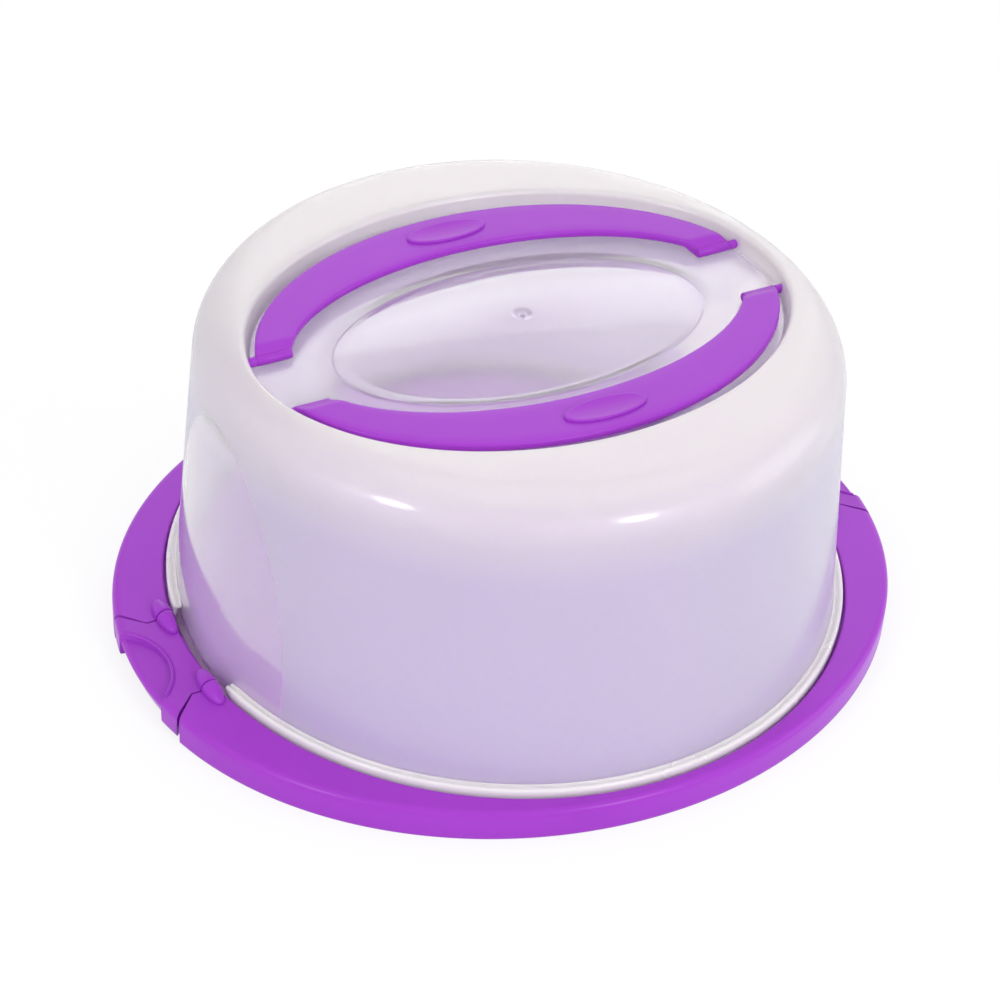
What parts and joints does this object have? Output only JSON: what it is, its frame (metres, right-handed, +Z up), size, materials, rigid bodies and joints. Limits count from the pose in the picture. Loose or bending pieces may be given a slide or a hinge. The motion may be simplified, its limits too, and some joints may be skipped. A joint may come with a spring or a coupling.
{
  "type": "cake carrier",
  "caption": "Oval cake tray with flip-up end latches and a lift-off frosted dome with folding crescent handles.",
  "frame": {"origin": "centre of the tray's underside, on the surface that it stands on", "axes": "+Z up, +X along the long axis through both latches, +Y across, so the handles lie at -Y and +Y"},
  "size_m": [0.3472, 0.3124, 0.1466],
  "materials": {
    "purple_polypropylene": "fine satin moulded skin",
    "frosted_polypropylene": "frosted translucent skin with polished clear panels"
  },
  "bodies": {
    "tray_body": {"base_tray": "purple_polypropylene"},
    "lid_body": {"lid": "frosted_polypropylene"},
    "front_handle_body": {"front_handle": "purple_polypropylene"},
    "rear_handle_body": {"rear_handle": "purple_polypropylene"},
    "left_latch_body": {"left_latch": "purple_polypropylene"},
    "right_latch_body": {"right_latch": "purple_polypropylene"}
  },
  "joints": [
    {"name": "lid_lift", "type": "slide", "parent": "tray_body", "child": "lid_body", "axis": [0, 0, 1], "range_m": [0, 0.2]},
    {"name": "front_handle_fold", "type": "hinge", "parent": "lid_body", "child": "front_handle_body", "pos_m": [0, -0.019, 0.1398], "axis": [-1, 0, 0], "range_deg": [0, 100]},
    {"name": "rear_handle_fold", "type": "hinge", "parent": "lid_body", "child": "rear_handle_body", "pos_m": [0, 0.019, 0.1398], "axis": [1, 0, 0], "range_deg": [0, 100]},
    {"name": "left_latch_flip", "type": "hinge", "parent": "tray_body", "child": "left_latch_body", "pos_m": [-0.151, 0, 0.0145], "axis": [0, 1, 0], "range_deg": [0, 95]},
    {"name": "right_latch_flip", "type": "hinge", "parent": "tray_body", "child": "right_latch_body", "pos_m": [0.151, 0, 0.0145], "axis": [0, -1, 0], "range_deg": [0, 95]}
  ]
}
